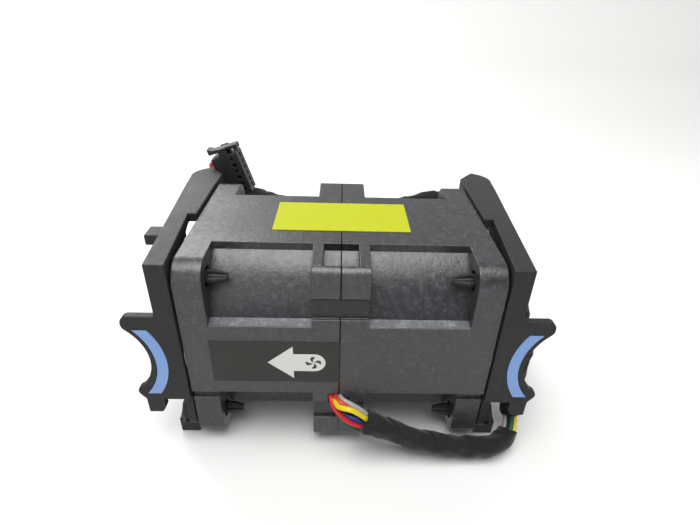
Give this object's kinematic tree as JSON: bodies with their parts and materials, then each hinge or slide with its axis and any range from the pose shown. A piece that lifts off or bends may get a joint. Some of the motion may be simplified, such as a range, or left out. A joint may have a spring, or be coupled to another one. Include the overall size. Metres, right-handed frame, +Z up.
{
  "type": "server fan module",
  "caption": "Hot-swap server fan module: counter-rotating twin impellers in a square plastic body, clip-on end brackets with finger tabs, sleeved lead and latched plug.",
  "frame": {"origin": "on the surface the module stands on, under the middle of its two brackets", "axes": "+X towards the air intake, along the shafts; +Y to the back; +Z up"},
  "size_m": [0.0794, 0.0667, 0.0481],
  "materials": {
    "housing_plastic": "matte, finely speckled moulded grey-black",
    "bracket_plastic": "matte moulded black",
    "blue_inlay": "smooth light blue",
    "label_yellow": "satin printed film",
    "label_black": "satin printed film",
    "impeller_plastic": "satin moulded black",
    "brass_tube": "turned",
    "bearing_steel": "ground",
    "steel": "ground",
    "yoke_steel": "pressed",
    "magnet": "bonded ferrite",
    "lamination": "stacked laminations",
    "insulator": "moulded natural nylon",
    "copper": "enamelled copper",
    "board": "solder-masked board",
    "sleeve_cloth": "woven tape",
    "wire_jacket": "smooth insulated wire",
    "plug_plastic": "matte moulded black",
    "tin": "tinned contact"
  },
  "bodies": {
    "module": {"intake_housing": "housing_plastic", "exhaust_housing": "housing_plastic", "right_bracket": "bracket_plastic", "left_bracket": "bracket_plastic", "right_touch_pad": "blue_inlay", "left_touch_pad": "blue_inlay", "right_mount_pins": "bracket_plastic", "left_mount_pins": "bracket_plastic", "rating_label": "label_yellow", "airflow_label": "label_black", "lead_wires": "wire_jacket", "harness_sleeve": "sleeve_cloth", "connector_tail": "wire_jacket", "connector_housing": "plug_plastic", "connector_terminals": "tin", "intake_bearing_tube": "brass_tube", "intake_front_bearing": "bearing_steel", "intake_rear_bearing": "bearing_steel", "intake_stator_core": "lamination", "intake_stator_insulator": "insulator", "intake_windings": "copper", "intake_circuit_board": "board", "exhaust_bearing_tube": "brass_tube", "exhaust_front_bearing": "bearing_steel", "exhaust_rear_bearing": "bearing_steel", "exhaust_stator_core": "lamination", "exhaust_stator_insulator": "insulator", "exhaust_windings": "copper", "exhaust_circuit_board": "board"},
    "intake_rotor": {"intake_impeller": "impeller_plastic", "intake_rotor_yoke": "yoke_steel", "intake_magnet_ring": "magnet", "intake_shaft": "steel", "intake_retaining_ring": "steel", "intake_preload_washer": "steel"},
    "exhaust_rotor": {"exhaust_impeller": "impeller_plastic", "exhaust_rotor_yoke": "yoke_steel", "exhaust_magnet_ring": "magnet", "exhaust_shaft": "steel", "exhaust_retaining_ring": "steel", "exhaust_preload_washer": "steel"},
    "latch": {"connector_latch": "plug_plastic"}
  },
  "joints": [
    {"name": "intake_spin", "type": "hinge", "parent": "module", "child": "intake_rotor", "pos_m": [0, -0.003, 0.0222], "axis": [1, 0, 0], "continuous": true},
    {"name": "exhaust_spin", "type": "hinge", "parent": "module", "child": "exhaust_rotor", "pos_m": [0, -0.003, 0.0222], "axis": [1, 0, 0], "continuous": true},
    {"name": "latch_press", "type": "hinge", "parent": "module", "child": "latch", "pos_m": [-0.02922, 0.0261, 0.04653], "axis": [0, 1, 0], "range_deg": [-6, 0], "stiffness_Nm_per_rad": 0.004}
  ]
}
